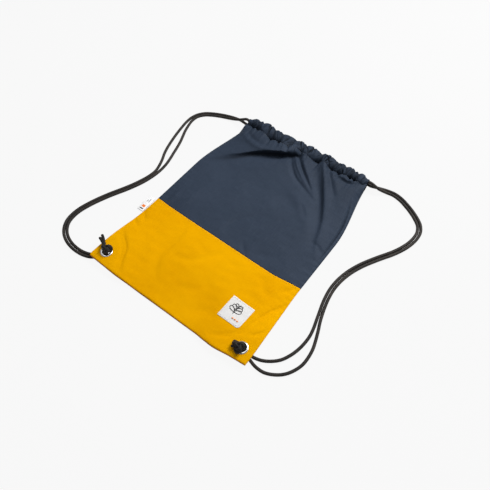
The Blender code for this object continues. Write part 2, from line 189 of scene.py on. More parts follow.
# Folds of the front: height (below 0 for a crease), width to the left and right of its line as it runs,
# the line seen from above, how far its crest leans over to the right, and where along the line it is fullest
FRONT_FOLDS = (
    # the big tuck under the left half of the casing, and the hollow in front of it
    fold(9.4, 21, 5.5, (-172, 81), (-150, 99), (-128, 116), (-108, 133), (-83, 157), (-56, 176),
         (-14, 199), (8, 209), lean=12.5, fullest=0.76),
    fold(-6.6, 8, 15, *TUCK_HOLLOW, fullest=0.78),
    # the smaller folds on top of the tuck
    fold(1.8, 6, 4.4, (-142, 183), (-113, 167), (-86, 164), (-60, 174), (-26, 197)),
    fold(-1.8, 5, 5, (-134, 196), (-116, 180), (-93, 175), (-70, 182)),
    # short folds that fan out from the middle of the casing
    fold(-2.6, 3, 6, (-22, 200), (-6, 171), (20, 146), (51, 132), (88, 116), fullest=0.36),
    fold(2.2, 3.6, 3.6, (-14, 202), (5, 174), (32, 152), (60, 136), lean=1, fullest=0.36),
    fold(-2.4, 2.8, 4, (-13, 206), (12, 177), (45, 150), (72, 132), fullest=0.36),
    fold(2.6, 6, 4.2, (-4, 210), (18, 182), (45, 158), (84, 122), lean=1, fullest=0.36),
    # the deep valley right of the middle, the ridge beside it and a second fold
    fold(-4.3, 8.5, 11, (26, 212), (36, 196), (58, 168), (88, 128), (108, 95), (118, 71), (127, 47),
         (139, 18), fullest=0.36),
    fold(4, 9, 5.4, (44, 212), (71, 175), (107, 120), (127, 81), (138, 45), (156, 12), lean=2,
         fullest=0.34),
    fold(-2.2, 3.4, 5, (54, 212), (77, 184), (112, 144), fullest=0.34),
    fold(1.6, 7, 5, (62, 210), (88, 182), (120, 148), fullest=0.34),
    # the roll under the right end of the casing
    fold(2.6, 6, 4, (82, 200), (106, 198), (126, 206), (138, 214), lean=3),
    fold(-2.2, 3.6, 8, (80, 192), (112, 190), (134, 205)),
    # the fold line along the right side seam, and broad waves of the upper panel
    fold(-2.4, 1.6, 2.4, *EDGE_FOLD, fullest=0.45),
    fold(-1.6, 6, 9, (-17, -42), (-12, -11), (-1, 7), (22, 34)),
    fold(2.2, 11, 11, (14, 114), (55, 102), (88, 79), (118, 50)),
    fold(-1.4, 4.5, 6, (62, 100), (78, 88), (94, 70)),
    fold(-1, 4.5, 4.5, (28, -34), (38, -48), (50, -58)),
    fold(-1.6, 4.5, 6, (124, 40), (146, 37), (162, 22)),
    fold(1.4, 4.6, 5, (-148, -53), (-142, -34), (-144, -8)),
    fold(1, 6, 6, (-122, -53), (-112, -22), (-114, 16)),
    fold(-1, 7, 7, (60, -50), (92, -30), (120, -34)),
    # the pull of the left eyelet
    fold(-2, 4, 9.5, (-170, -146), (-148, -165), (-132, -178), (-121, -198), (-104, -224)),
    fold(-0.9, 4, 4, (-172, -88), (-157, -101), (-146, -114)),
    fold(-0.9, 3.6, 4, (-173, -116), (-160, -122), (-148, -129)),
    # waves of the lower panel
    fold(-1.9, 7.5, 12, (-84, -60), (-72, -96), (-73, -122), (-74, -147), (-63, -174), (-40, -198)),
    fold(0.7, 12, 12, (-110, -70), (-102, -104), (-101, -140), (-86, -180)),
    fold(-1.1, 7.5, 9, (-60, -136), (-22, -124), (-1, -100), (26, -64)),
    fold(-0.8, 8, 8, (-14, -182), (17, -170), (30, -146), (32, -120)),
    fold(-1, 9, 9, (28, -204), (57, -193), (70, -172)),
    fold(-0.9, 7, 8, (100, -76), (114, -90), (132, -104)),
    fold(-0.9, 4.6, 5, (142, -86), (153, -70), (164, -52)),
    # the pull of the right eyelet
    fold(-2.1, 3.6, 4.6, (133, -192), (142, -164), (147, -138), (155, -116), (171, -86)),
    fold(-1.4, 3.6, 4.4, (150, -183), (162, -166), (172, -150)),
    fold(-1.5, 5.6, 6, (90, -220), (120, -201), (136, -178)),
)


def smooth(t):
    """Eases from 0 to 1 as t goes from 0 to 1."""
    t = np.clip(t, 0.0, 1.0)
    return t * t * (3 - 2 * t)


def mix(a, b, share):
    return a + (b - a) * share


def bell(distance, width):
    """1 at distance 0, falling off evenly on both sides."""
    return np.exp(-((distance / width) ** 2))


def fade(distance, reach):
    """1 at distance 0, fading out beyond it."""
    return np.exp(-distance / reach)


def half_width(y):
    """Half of the bag's width at y: full at the bottom, drawn in at the mouth."""
    s = y - BOTTOM_Y
    width = BOTTOM_WIDTH - (BOTTOM_WIDTH - WAIST_WIDTH) * smooth(s / WAIST_START)
    gather = smooth((s - SHOULDER_START) / (SHOULDER_END - SHOULDER_START))
    cut = CORNER_ROUND * (1 - np.sqrt(1 - np.clip(1 - (s + CORNER_SAG) / CORNER_ROUND, 0, 1) ** 2))
    return (width - (WAIST_WIDTH - MOUTH_WIDTH) * gather) / 2 - cut


def corner_share(x, y):
    """1 where the fabric lies flat over the cords at a bottom corner, 0 away from both corners."""
    r = np.hypot(np.abs(x) - EYELET_X, y - EYELET_Y)
    return smooth((LIFT_REACH - r) / (LIFT_REACH - LIFT_FLAT))


def back_height(x, y):
    """Height of the back panels' underside."""
    return CORNER_LIFT * corner_share(x, y)


def front_height(x, y):
    """Height of the front panels' underside, before folds."""
    s = y - BOTTOM_Y
    near_mouth = smooth((s - 0.3) / (BAG_LENGTH - CASING_LENGTH - 0.3))
    crown = BODY_CROWN * smooth(s / BODY_CROWN_RAMP) + MOUTH_CROWN * near_mouth
    roundness = BODY_ROUNDNESS + (MOUTH_ROUNDNESS - BODY_ROUNDNESS) * near_mouth
    share = 1 - np.minimum(1, np.abs(x) / half_width(y)) ** roundness
    corner = corner_share(x, y)
    return CORNER_LIFT * corner + SEAM_STACK + crown * share * (1 - corner)


def ripple(x, y, wavelength, seed, stretch=(1.0, 1.0)):
    """Smooth unrepeating waves from about -1 to 1, about a wavelength apart."""
    rng = np.random.RandomState(seed)
    total = np.zeros(np.broadcast(x, y).shape)
    count = 9
    for _ in range(count):
        angle, phase = rng.uniform(0, 2 * math.pi, 2)
        k = 2 * math.pi / (wavelength * rng.uniform(0.7, 1.5))
        across = x * math.cos(angle) / stretch[0] + y * math.sin(angle) / stretch[1]
        total = total + np.sin(k * across + phase)
    return total / math.sqrt(2 * count)


def unit(vectors):
    return vectors / np.maximum(np.linalg.norm(vectors, axis=-1, keepdims=True), 1e-12)


def distance_along(path):
    """For each point of the path, how far along it lies."""
    return np.concatenate([[0.0], np.cumsum(np.linalg.norm(np.diff(path, axis=0), axis=1))])


def points_at(path, along, wanted):
    return np.stack([np.interp(wanted, along, path[:, axis]) for axis in range(path.shape[1])], axis=-1)


def curve_through(points, count):
    """count points evenly spaced on a smooth curve through the given points."""
    p = [np.array(q, float) for q in points]
    p = [2 * p[0] - p[1], *p, 2 * p[-1] - p[-2]]
    fine = []
    for a, b, c, d in zip(p, p[1:], p[2:], p[3:]):
        tangent_b, tangent_c = (c - a) / 2, (d - b) / 2
        for t in np.arange(24) / 24:
            fine.append(
                b * (1 + 2 * t) * (1 - t) ** 2 + tangent_b * t * (1 - t) ** 2
                + c * t * t * (3 - 2 * t) + tangent_c * t * t * (t - 1)
            )
    fine = np.array([*fine, p[-2]])
    along = distance_along(fine)
    return points_at(fine, along, np.linspace(0.0, along[-1], count))


def across_and_along(x, y, line):
    """For each point, its distance from the line, above 0 on its left, and how far along the nearest is."""
    best = np.full(x.shape, np.inf)
    signed = np.zeros(x.shape)
    share = np.zeros(x.shape)
    steps = len(line) - 1
    for k, (a, b) in enumerate(zip(line[:-1], line[1:])):
        d = b - a
        t = np.clip(((x - a[0]) * d[0] + (y - a[1]) * d[1]) / (d @ d), 0, 1)
        off_x, off_y = x - a[0] - t * d[0], y - a[1] - t * d[1]
        r = np.hypot(off_x, off_y)
        closer = r < best
        side = np.sign(d[0] * off_y - d[1] * off_x)
        best = np.where(closer, r, best)
        signed = np.where(closer, r * side, signed)
        share = np.where(closer, (k + t) / steps, share)
    return signed, share


def folds_at(x, y):
    """How far the folds move the front: (rightwards, towards the mouth, up)."""
    moved = np.zeros((3, *x.shape))
    for points, height, left, right, lean, fullest in FRONT_FOLDS:
        line = curve_through(points, 25)
        across, along = across_and_along(x, y, line)
        width = np.where(across > 0, left, right)
        taper = np.sin(math.pi * np.clip(along, 0.0, 1.0) ** (math.log(0.5) / math.log(fullest))) ** 0.8
        share = bell(across, width) * taper
        moved[2] += height * share
        if lean:
            run = (line[-1] - line[0]) / np.linalg.norm(line[-1] - line[0])
            moved[0] += run[1] * lean * share
            moved[1] -= run[0] * lean * share
    return moved


def puff(x, puffs):
    """Fullness of a casing at x, 0 at a pinch."""
    value = np.zeros(np.shape(x))
    for left, right, fullness, lean in puffs:
        left, right = left * MM, right * MM
        s = np.clip((x - left) / (right - left), 0, 1) ** lean
        inside = (x >= left) & (x <= right)
        value = np.where(inside, fullness * np.sin(math.pi * s) ** 0.8, value)
    return value


def along_table(table, x):
    """The value at x of a smooth curve through a table of (x, value)."""
    curve = curve_through(table, 200)
    return np.interp(x, curve[:, 0], curve[:, 1])


def seam_line(x):
    """Y of the cross seam."""
    return SEAM_Y - along_table(SEAM_SAG, x)


def bottom_line(x):
    """Y of the bottom edge."""
    return BOTTOM_Y - along_table(BOTTOM_SAG, x)


def end_share(x):
    """0 at a casing's two ends, where it closes round the cord, and 1 along its length."""
    return smooth((CASING_OUTLET_X - np.abs(x)) / 0.016)


def lane(x):
    return np.where(x < 0, LEFT_LANE_Y, RIGHT_LANE_Y)


def stitch_line(x):
    """Y of the seam between the upper panels and the casings."""
    return mix(lane(x) - 0.005, along_table(CASING_SEAM, x), smooth((CASING_OUTLET_X - np.abs(x)) / 0.007))


def front_surface(x, y):
    """Points of the front's upper face, with its folds, its rolled edges and the groove along the casing."""
    corner = corner_share(x, y)
    from_eyelet = np.hypot(np.abs(x) - EYELET_X, y - EYELET_Y)
    calm = smooth((from_eyelet - 0.015) / 0.014) * smooth((half_width(y) - np.abs(x)) / 0.007)
    below_casing = stitch_line(x) - y
    near_casing = fade(np.maximum(0, below_casing), 0.018) * end_share(x)
    aside, ahead, drape = folds_at(x, y)
    held = calm * smooth(below_casing / 0.012)
    drape = drape + 0.0005 * ripple(x, y, 0.075, 3) + 0.00016 * ripple(x, y, 0.022, 5)
    full = puff(x, FRONT_PUFFS)
    drape = drape + near_casing * (0.0056 * (full - 0.35) + 0.001 * ripple(x, y, 0.01, 8, (1.0, 5.0)))
    side = fade(half_width(y) - np.abs(x), 0.01)
    pucker = 0.00028 * side * np.sin(y * 2 * math.pi / 0.0115 + 2.0 * ripple(x, y, 0.06, 11))
    from_seam = y - seam_line(x)
    seam = fade(np.abs(from_seam), 0.006)
    pucker = pucker + 0.0001 * seam * np.sin(x * 2 * math.pi / 0.008 + 2.0 * ripple(x, y, 0.08, 12))
    slit = smooth((y - SLIT_START) / (SLIT_FULL - SLIT_START))
    z = front_height(x, y) + FABRIC
    lifted = SEAM_STACK + FABRIC + BODY_CROWN + MOUTH_CROWN * 0.6
    z = mix(z, np.maximum(z, lifted), slit) + drape * calm + pucker * (1 - corner)
    z = z - 0.0052 * (1 - full) * bell(below_casing, 0.0045) * end_share(x)
    z = z - 0.0005 * bell(from_seam, 0.0009) * (1 - corner)
    from_edge = np.minimum(half_width(y) - np.abs(x) + 0.004 * slit, y - bottom_line(x))
    rounded = np.sqrt(np.clip(1 - (1 - np.clip(from_edge / EDGE_ROLL, 0, 1)) ** 2, 0, 1))
    low = back_height(x, y) + FABRIC + 0.0011
    z = mix(low, np.maximum(z, low + 0.0004), mix(rounded, 1.0, slit))
    return np.stack([x + aside * held, y + ahead * held, z], axis=-1)


def front_top(x, y):
    """Height of the front's upper face."""
    x, y = np.broadcast_arrays(np.asarray(x, float), np.asarray(y, float))
    return front_surface(x, y)[..., 2]


def back_surface(x, y):
    """Points of the back's upper face."""
    below_casing = stitch_line(x) - y
    gathered = 0.001 * fade(np.maximum(0, below_casing), 0.03) * (1 + ripple(x, y, 0.011, 21, (1.0, 4.0)))
    return np.stack([x, y, back_height(x, y) + FABRIC + np.maximum(0, gathered)], axis=-1)


# ---------------------------------------------------------------- materials


def add_node(tree, kind, inputs=(), **settings):
    """A new node. inputs maps socket names or numbers to values or to the output sockets to link."""
    made = tree.nodes.new(kind)
    for key, value in settings.items():
        setattr(made, key, value)
    for key, value in dict(inputs).items():
        if isinstance(value, bpy.types.NodeSocket):
            tree.links.new(value, made.inputs[key])
        else:
            made.inputs[key].default_value = value
    return made


def start_material(name, roughness, **numbers):
    """An empty Principled material: (material, node tree, shader)."""
    made = bpy.data.materials.new(name)
    made.use_nodes = True
    tree = made.node_tree
    shader = tree.nodes["Principled BSDF"]
    shader.inputs["Roughness"].default_value = roughness
    for key, value in numbers.items():
        shader.inputs[key.replace("_", " ")].default_value = value
    return made, tree, shader


def math_node(tree, operation, *values):
    return add_node(tree, "ShaderNodeMath", dict(enumerate(values)), operation=operation).outputs[0]


def times(tree, *values):
    return math_node(tree, "MULTIPLY", *values)


def plus(tree, *values):
    return math_node(tree, "ADD", *values)


def opaque(colour):
    return (*colour, 1.0)


def grey(value):
    return (value, value, value, 1.0)


def blend_colours(tree, share, a, b):
    made = add_node(tree, "ShaderNodeMix", {0: share, 6: a, 7: b}, data_type="RGBA")
    return made.outputs[2]


def noise(tree, where, scale, detail=3.0, distortion=0.0):
    inputs = {"Vector": where, "Scale": scale, "Detail": detail, "Distortion": distortion}
    return add_node(tree, "ShaderNodeTexNoise", inputs).outputs["Fac"]


def ramp(tree, value, low, high):
    """value moved from low..high to 0..1."""
    inputs = {"Value": value, "From Min": low, "From Max": high}
    return add_node(tree, "ShaderNodeMapRange", inputs).outputs["Result"]


def scaled(tree, where, x, y, z=1.0):
    return add_node(tree, "ShaderNodeVectorMath", {0: where, 1: (x, y, z)}, operation="MULTIPLY").outputs[0]


def flat_place(tree):
    """The fabric's own flat coordinates, and the same split into numbers."""
    flat = add_node(tree, "ShaderNodeUVMap", uv_map="flat").outputs[0]
    return flat, add_node(tree, "ShaderNodeSeparateXYZ", {0: flat}).outputs


def object_place(tree):
    return add_node(tree, "ShaderNodeTexCoord").outputs["Object"]


def attribute(tree, name):
    return add_node(tree, "ShaderNodeAttribute", attribute_name=name).outputs["Fac"]


def bumped(tree, strength, distance, height, **base):
    inputs = {"Strength": strength, "Distance": distance, "Height": height, **base}
    return add_node(tree, "ShaderNodeBump", inputs).outputs[0]


def join_up(tree, shader, tone, roughness, normal):
    """Links what varies over the surface to the shader."""
    for name, socket in (("Base Color", tone), ("Roughness", roughness), ("Normal", normal)):
        if socket is not None:
            tree.links.new(socket, shader.inputs[name])


def interlaced(tree, first, second):
    """Height of threads that run two ways, over and under each other. Each way is counted in threads."""
    both = add_node(tree, "ShaderNodeCombineXYZ", {0: first, 1: second}).outputs[0]
    over = add_node(tree, "ShaderNodeTexChecker", {"Vector": both, "Scale": 1.0}).outputs["Fac"]
    under = math_node(tree, "SUBTRACT", 1.0, over)
    shown = []
    for way, share in ((first, over), (second, under)):
        round_thread = math_node(tree, "ABSOLUTE", math_node(tree, "SINE", times(tree, way, math.pi)))
        shown.append(times(tree, round_thread, share))
    return plus(tree, *shown)


def weave(tree, flat, pitch):
    """Height of a plain weave whose threads are a pitch apart."""
    threads = add_node(tree, "ShaderNodeSeparateXYZ", {0: scaled(tree, flat, 1 / pitch, 1 / pitch)}).outputs
    return interlaced(tree, threads[0], threads[1])


def fabric_material(name, colour, shade, light, pitch, roughness, sheen, relief=0.35, gloss=0.15):
    """Woven fabric: cloudy variation, streaky threads, rubbed edges, painted shade in creases and gathers, a
    painted highlight on the casings' puffs and a fine weave.
    """
    made, tree, shader = start_material(name, roughness, Sheen_Weight=sheen, Sheen_Roughness=0.45)
    shader.inputs["Specular IOR Level"].default_value = gloss
    flat, _ = flat_place(tree)
    place = object_place(tree)
    cloud = ramp(tree, noise(tree, place, 9.0, 4.0, 0.6), 0.3, 0.72)
    streaks = [noise(tree, scaled(tree, flat, *way), 1.0, 2.0) for way in ((900.0, 60.0), (60.0, 900.0))]
    threads = times(tree, plus(tree, *streaks), 0.5)
    tone = blend_colours(tree, cloud, opaque(shade), opaque(colour))
    tone = blend_colours(tree, times(tree, ramp(tree, threads, 0.4, 0.66), 0.35), tone, opaque(light))
    # This attribute is rubbed wear on edges and seams, and on the casings also a painted highlight on the
    # puffs' tops.
    worn_and_highlit = attribute(tree, "wear_and_highlight")
    speck = ramp(tree, noise(tree, place, 420.0, 2.0), 0.35, 0.75)
    tone = blend_colours(tree, times(tree, times(tree, worn_and_highlit, speck), 0.55), tone, opaque(light))
    # The second attribute is painted shade: it darkens the tone in gathers, pinches, wrinkles, under the tuck
    # and along a fold line.
    painted_shade_colour = [0.16 * c for c in shade]
    tone = blend_colours(tree, times(tree, attribute(tree, "painted_shade"), 0.92), tone, opaque(painted_shade_colour))
    rough = plus(tree, times(tree, threads, 0.16), roughness - 0.1)
    rough = plus(tree, rough, times(tree, worn_and_highlit, 0.08))
    fine = bumped(tree, relief, 0.00012, plus(tree, weave(tree, flat, pitch), times(tree, threads, 0.6)))
    crinkled = bumped(tree, 0.25, 0.0006, noise(tree, place, 95.0, 4.0, 1.2), Normal=fine)
    join_up(tree, shader, tone, rough, crinkled)
    return made


BRAID_BUNDLES = 8
BRAID_STEP = 0.0016


def braid_material(name, dark, brown, fleck_and_sheen):
    """Braided cord: crossing bundles of thread, browner on their crowns with painted shade in the gaps between
    them, and light fibres on the crowns that are partly painted sheen.
    """
    made, tree, shader = start_material(name, 0.75, Sheen_Weight=0.04, Sheen_Roughness=0.5)
    shader.inputs["Specular IOR Level"].default_value = 0.3
    _, split = flat_place(tree)
    around = times(tree, split[0], BRAID_BUNDLES)
    along = math_node(tree, "DIVIDE", split[1], BRAID_STEP)
    height = interlaced(tree, plus(tree, around, along), math_node(tree, "SUBTRACT", around, along))
    place = object_place(tree)
    fibres = noise(tree, place, 1400.0, 3.0)
    patchy = noise(tree, place, 55.0, 3.0)
    tone = blend_colours(tree, ramp(tree, patchy, 0.3, 0.7), opaque(dark), opaque(brown))
    # painted shade: the bundles' crowns turn browner and the gaps between them stay dark
    tone = blend_colours(tree, times(tree, ramp(tree, height, 0.5, 1.0), 0.45), tone, opaque(brown))
    # light fibres on the crowns, partly real fibres and partly painted sheen
    flecks_and_sheen = times(tree, ramp(tree, fibres, 0.6, 0.74), ramp(tree, height, 0.55, 0.95))
    tone = blend_colours(tree, times(tree, flecks_and_sheen, 0.22), tone, opaque(fleck_and_sheen))
    bump = bumped(tree, 0.35, 0.0003, plus(tree, height, times(tree, fibres, 0.5)))
    join_up(tree, shader, tone, plus(tree, times(tree, fibres, 0.25), 0.55), bump)
    return made


def thread_material(name, colour, light):
    """Sewing thread: a fine twist along each stitch."""
    made, tree, shader = start_material(name, 0.6, Sheen_Weight=0.2)
    place = object_place(tree)
    inputs = {"Vector": place, "Scale": 900.0, "Distortion": 1.5}
    twist = add_node(tree, "ShaderNodeTexWave", inputs, bands_direction="DIAGONAL").outputs["Fac"]
    share = times(tree, plus(tree, twist, noise(tree, place, 1500.0)), 0.4)
    tone = blend_colours(tree, share, opaque(colour), opaque(light))
    join_up(tree, shader, tone, None, bumped(tree, 0.5, 0.0001, twist))
    return made


def metal_material(name):
    """Plated steel: faint clouding, fine hairline scratches."""
    made, tree, shader = start_material(name, 0.22, Metallic=1.0)
    place = object_place(tree)
    cloud = noise(tree, place, 260.0, 4.0)
    scratch = noise(tree, scaled(tree, place, 2400.0, 180.0, 600.0), 1.0, 2.0, 0.4)
    rough = plus(tree, plus(tree, times(tree, cloud, 0.16), 0.12), times(tree, scratch, 0.1))
    tone = blend_colours(tree, cloud, grey(0.55), grey(0.86))
    join_up(tree, shader, tone, rough, bumped(tree, 0.15, 0.0001, scratch))
    return made


LABEL_PITCH = 0.0005
# The blocks woven into the side label, in millimetres: from and to along it, from and to across it, colour
LABEL_BLOCKS = (
    ((3.5, 11), (-10, -4.5), (0.85, 0.2, 0.02, 1.0)),
    ((3, 12), (-15, -12.8), (0.03, 0.03, 0.035, 1.0)),
    ((5, 6.2), (4, 13), (0.1, 0.1, 0.11, 1.0)),
    ((8.8, 10), (4, 10), (0.1, 0.1, 0.11, 1.0)),
)


def label_material(name):
    """White woven label with an orange block and dark bars woven in, and no lettering."""
    made, tree, shader = start_material(name, 0.7, Sheen_Weight=0.1)
    flat, split = flat_place(tree)
    tone = blend_colours(tree, noise(tree, scaled(tree, flat, 1200.0, 1200.0), 1.0), grey(0.82), grey(0.94))
    for *spans, colour in LABEL_BLOCKS:
        share = 1.0
        for socket, (low, high) in zip(split, spans):
            above = math_node(tree, "GREATER_THAN", socket, low * MM)
            below = math_node(tree, "LESS_THAN", socket, high * MM)
            share = times(tree, share, times(tree, above, below))
        tone = blend_colours(tree, share, tone, colour)
    threads = weave(tree, flat, LABEL_PITCH)
    rough = plus(tree, times(tree, threads, 0.15), 0.6)
    join_up(tree, shader, tone, rough, bumped(tree, 0.4, 0.0001, threads))
    return made


# Fabric colours: own colour, a darker and a lighter tone. The darker one, at 0.16, also gives the painted
# shade; the lighter one also the painted highlight on the casings.
NAVY = (0.0283, 0.04, 0.0633), (0.0221, 0.0325, 0.0525), (0.0475, 0.064, 0.0948)
MUSTARD = (0.776, 0.37, 0.0006), (0.7, 0.312, 0.0004), (0.833, 0.438, 0.002)
TAPE = (0.018, 0.017, 0.017), (0.012, 0.011, 0.011), (0.05, 0.05, 0.05)
# the brown of the mustard back panel's edge in shade, painted
PAINTED_EDGE_SHADE = (0.3, 0.09, 0.016), (0.2, 0.056, 0.01), (0.42, 0.16, 0.02)
PATCH_WHITE = (0.76, 0.75, 0.735), (0.69, 0.68, 0.67), (0.84, 0.835, 0.82)
CORD = (0.0065, 0.0053, 0.0045), (0.027, 0.0212, 0.0172), (0.2, 0.175, 0.15)
KNOT = (0.004, 0.0033, 0.0029), (0.012, 0.0098, 0.0082), (0.14, 0.12, 0.1)
CUT_END = (0.06, 0.052, 0.045), (0.02, 0.018, 0.016), (0.28, 0.26, 0.24)

navy = fabric_material("navy_fabric", *NAVY, 0.00065, 0.62, 0.0, gloss=0.07)
mustard = fabric_material("mustard_fabric", *MUSTARD, 0.00065, 0.66, 0.0, gloss=0.0)
tape = fabric_material("binding_tape", *TAPE, 0.0011, 0.75, 0.1)
painted_edge_shade = fabric_material("painted_edge_shade", *PAINTED_EDGE_SHADE, 0.0009, 0.7, 0.0)
patch_weave = fabric_material("patch_weave", *PATCH_WHITE, 0.0006, 0.7, 0.0)
cord_end = fabric_material("cord_end", *CUT_END, 0.0008, 0.7, 0.1, relief=0.8)
cord_braid = braid_material("cord_braid", *CORD)
knot_braid = braid_material("knot_braid", *KNOT)
plated = metal_material("plated_steel")
navy_thread = thread_material("navy_thread", (0.02, 0.027, 0.046), (0.09, 0.11, 0.15))
mustard_thread = thread_material("mustard_thread", (0.62, 0.27, 0.004), (0.9, 0.5, 0.03))
white_thread = thread_material("white_thread", (0.66, 0.66, 0.65), (0.92, 0.92, 0.92))
dark_thread = thread_material("dark_thread", (0.014, 0.014, 0.016), (0.05, 0.05, 0.055))
orange_thread = thread_material("orange_thread", (0.92, 0.3, 0.1), (0.98, 0.46, 0.22))
label_weave = label_material("label_weave")

# ---------------------------------------------------------------- meshes


def grid_normals(points):
    return unit(np.cross(np.gradient(points, axis=1), np.gradient(points, axis=0)))


def new_object(name, vertices, faces, materials):
    mesh = bpy.data.meshes.new(name)
    mesh.from_pydata(vertices, [], faces)
    mesh.update()
    for m in materials:
        mesh.materials.append(m)
    mesh.shade_smooth()
    made = bpy.data.objects.new(name, mesh)
    bpy.context.scene.collection.objects.link(made)
    return made


def set_flat_map(mesh, per_corner):
    layer = mesh.uv_layers.new(name="flat")
    layer.data.foreach_set("uv", per_corner.astype(np.float32).ravel())


def sheet_object(name, points, thickness, material, flat, wear_and_highlight=None, painted_shade=None, normals=None, holes=0.0):
    """A closed sheet of cloth. points is the (rows, columns, 3) grid of its outer face, holes a radius."""
    rows, columns = points.shape[:2]
    normals = grid_normals(points) if normals is None else normals
    inner = points - normals * thickness
    count = rows * columns
    index = np.arange(count).reshape(rows, columns)
    corners = index[:-1, :-1], index[:-1, 1:], index[1:, 1:], index[1:, :-1]
    outer_faces = np.stack(corners, axis=-1).reshape(-1, 4)
    middles = points.reshape(-1, 3)[outer_faces].mean(axis=1)
    from_eyelet = np.hypot(np.abs(middles[:, 0]) - EYELET_X, middles[:, 1] - EYELET_Y)
    outer_faces = outer_faces[from_eyelet >= holes]
    border, after = outer_faces.ravel(), np.roll(outer_faces, -1, axis=1).ravel()
    open_edge = ~np.isin(border * count + after, after * count + border)
    border, after = border[open_edge], after[open_edge]
    rim_faces = np.stack([after, border, border + count, after + count], axis=-1)
    vertices = np.concatenate([points.reshape(-1, 3), inner.reshape(-1, 3)])
    faces = np.concatenate([outer_faces, outer_faces[:, ::-1] + count, rim_faces])
    made = new_object(name, vertices.tolist(), faces.tolist(), [material])
    mesh = made.data
    set_flat_map(mesh, np.concatenate([flat.reshape(-1, 2)] * 2)[faces.ravel()])
    # wear, partly painted highlight, and painted shade go to the material as attributes
    for label, values in (("wear_and_highlight", wear_and_highlight), ("painted_shade", painted_shade)):
        if values is not None:
            layer = mesh.attributes.new(label, "FLOAT", "POINT")
            layer.data.foreach_set("value", np.concatenate([values.ravel()] * 2).astype(np.float32))
    corner_normals = np.concatenate([normals.reshape(-1, 3), -normals.reshape(-1, 3)])[faces]
    corners = vertices[rim_faces]
    across_rim = unit(np.cross(corners[:, 1] - corners[:, 0], corners[:, 3] - corners[:, 0]))
    corner_normals[-len(rim_faces):] = across_rim[:, None, :]
    mesh.normals_split_custom_set(corner_normals.reshape(-1, 3).tolist())
    return made


def halves(name, points, thickness, material, *maps):
    """The sheet in a left and a right half that meet at its middle column, shaded as one."""
    middle = points.shape[1] // 2
    made = []
    for side, part in (("left", slice(0, middle + 1)), ("right", slice(middle, None))):
        values = [grid[:, part] for grid in (*maps, grid_normals(points))]
        made.append((side, sheet_object(f"{name}_{side}", points[:, part], thickness, material, *values)))
    return made


def ring_faces(count, sides, first=0):
    """Faces between the rings of a tube and over its two ends, where first is its first vertex."""
    index = first + np.arange(count * sides).reshape(count, sides)
    right = np.roll(index, -1, axis=1)
    around = np.stack([index[:-1], index[1:], right[1:], right[:-1]], axis=-1).reshape(-1, 4)
    return [*around.tolist(), index[0].tolist(), index[-1, ::-1].tolist()]


def tube_object(name, path, radius, sides, materials, relief=0.0, capped=True):
    """A tube along the path. relief raises the braid's bundles on it. Its ends are rounded over."""
    path = np.array(path, float)
    tangent = unit(np.gradient(path, axis=0))
    side = np.cross(tangent[0], [0.0, 0.0, 1.0])
    if np.linalg.norm(side) < 1e-3:
        side = np.cross(tangent[0], [0.0, 1.0, 0.0])
    aside = []
    for t in tangent:
        side = unit(side - t * (side @ t))
        aside.append(side)
    aside = np.array(aside)
    up = np.cross(tangent, aside)
    along = distance_along(path)
    u = np.arange(sides) / sides
    rising = BRAID_BUNDLES * u[None, :] + along[:, None] / BRAID_STEP
    falling = BRAID_BUNDLES * u[None, :] - along[:, None] / BRAID_STEP
    over = (np.floor(rising) + np.floor(falling)) % 2
    height = np.abs(np.sin(math.pi * np.where(over > 0.5, rising, falling)))
    r = radius - relief + relief * height
    if capped:
        from_end = np.minimum(along, along[-1] - along) / (0.45 * radius)
        r = r * np.sqrt(np.clip(1 - (1 - np.clip(from_end, 0, 1)) ** 2, 0.3, 1))[:, None]
    angle = 2 * math.pi * u
    ring = (path[:, None, :] + aside[:, None, :] * (r * np.cos(angle))[..., None]
            + up[:, None, :] * (r * np.sin(angle))[..., None])
    made = new_object(name, ring.reshape(-1, 3).tolist(), ring_faces(len(path), sides), materials)
    mesh = made.data
    if len(materials) > 1:
        mesh.polygons[-2].material_index = mesh.polygons[-1].material_index = 1
    # the flat map runs once round the tube, without a seam across the last face
    shape = (len(path) - 1, sides, 4)
    round_share = np.broadcast_to(np.stack([u, u, u + 1 / sides, u + 1 / sides], axis=-1)[None], shape)
    low, high = along[:-1, None], along[1:, None]
    length = np.broadcast_to(np.stack([low, high, high, low], axis=-1), shape)
    flat = np.stack([round_share, length], axis=-1).reshape(-1, 2)
    set_flat_map(mesh, np.concatenate([flat, np.zeros((2 * sides, 2))]))
    return made


def join_meshes(name, parts):
    """One object from several."""
    vertices, faces = [], []
    for part in parts:
        faces += [[i + len(vertices) for i in p.vertices] for p in part.data.polygons]
        vertices += [tuple(v.co) for v in part.data.vertices]
    made = new_object(name, vertices, faces, list(parts[0].data.materials))
    for part in parts:
        bpy.data.objects.remove(part)
    return made


def stitch_object(name, line, pitch, length, radius, material):
    """A row of stitches along the line, each a short swelling thread that dips at both ends."""
    line = np.array(line, float)
    along = distance_along(line)
    steps, sides = 6, 6
    angle = 2 * math.pi * np.arange(sides) / sides
    swell = np.sin(math.pi * (0.12 + 0.76 * np.arange(steps) / (steps - 1)))[:, None, None]
    vertices, faces = [], []
    for start in np.arange(pitch / 2, along[-1] - length, pitch):
        p = points_at(line, along, start + np.linspace(0, length, steps))
        t = unit(p[-1] - p[0])
        side = unit(np.cross(t, [0, 0, 1.0]))
        up = np.cross(side, t)
        round_thread = side * np.cos(angle)[:, None] - up * np.sin(angle)[:, None]
        faces += ring_faces(steps, sides, len(vertices))
        rings = p[:, None] + up * radius * (1.5 * swell - 0.9) + radius * (0.35 + 0.65 * swell) * round_thread
        vertices += rings.reshape(-1, 3).tolist()
    return new_object(name, vertices, faces, [material])


# ---------------------------------------------------------------- moving with the cords


def draw_in(piece):
    """Bakes the piece's placing into its mesh."""
    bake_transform(piece)


